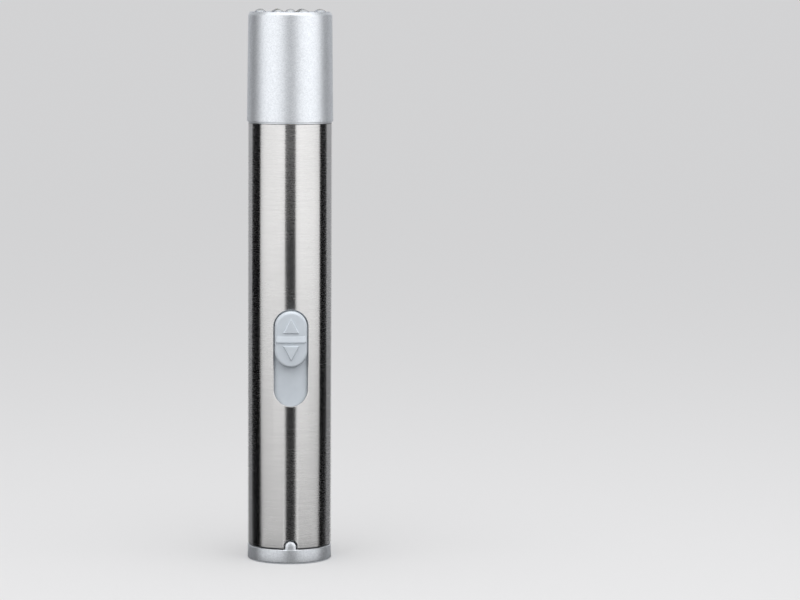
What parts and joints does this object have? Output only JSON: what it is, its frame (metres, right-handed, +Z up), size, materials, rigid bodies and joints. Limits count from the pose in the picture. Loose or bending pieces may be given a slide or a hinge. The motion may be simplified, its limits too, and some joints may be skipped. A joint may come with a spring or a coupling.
{
  "type": "mini led flashlight",
  "caption": "Slim torch: round brushed-steel sleeve, slightly flared painted head with a ring of clear LEDs, painted foot ring, thumb slide switch, screw-off head for changing cells.",
  "frame": {"origin": "centre of the flat base, on the body's axis", "axes": "+Z up along the body's axis towards the LEDs, -Y out through the thumb slider, +X to the right seen from the slider's side"},
  "size_m": [0.0184, 0.0197, 0.1182],
  "materials": {
    "silver_paint": "satin metallic paint with a fine flake",
    "brushed_steel": "fine grain running round the tube",
    "grey_plastic": "matt moulded",
    "black_plastic": "matt moulded",
    "brass": "stamped strip",
    "spring_steel": "bright drawn",
    "cell_jacket": "plain shrink film",
    "rubber": "black seal rubber",
    "clear_epoxy": "clear cast epoxy",
    "laminate": "white solder mask",
    "ceramic_chip": "black glaze"
  },
  "bodies": {
    "torch_body": {"tail_cap": "silver_paint", "lower_contact_strip": "brass", "tail_spring": "spring_steel", "lower_cell_can": "cell_jacket", "lower_cell_cap": "spring_steel", "upper_cell_can": "cell_jacket", "upper_cell_cap": "spring_steel", "chassis": "black_plastic", "neck_o_ring": "rubber", "steel_sleeve": "brushed_steel", "upper_contact_strip": "brass"},
    "thumb_slider": {"switch_knob": "grey_plastic", "switch_contact": "brass"},
    "thread_lift": {"ground_sleeve": "brass"},
    "head": {"head_shell": "silver_paint", "led_holder": "silver_paint", "led_board": "laminate", "current_resistor": "ceramic_chip", "head_spring": "spring_steel", "led_1": "clear_epoxy", "led_2": "clear_epoxy", "led_3": "clear_epoxy", "led_4": "clear_epoxy", "led_5": "clear_epoxy", "led_6": "clear_epoxy", "led_7": "clear_epoxy", "led_8": "clear_epoxy", "led_9": "clear_epoxy"}
  },
  "joints": [
    {"name": "switch_slide", "type": "slide", "parent": "torch_body", "child": "thumb_slider", "axis": [0, 0, -1], "range_m": [0, 0.0082]},
    {"name": "head_lift", "type": "slide", "parent": "torch_body", "child": "thread_lift", "axis": [0, 0, 1], "range_m": [0, 0.008]},
    {"name": "head_turn", "type": "hinge", "parent": "thread_lift", "child": "head", "pos_m": [0, 0, 0.106], "axis": [0, 0, 1], "range_deg": [0, 2880]}
  ],
  "couplings": [
    {"joint": "head_lift", "follows": "head_turn", "m_per_rad": 0.00015915}
  ]
}
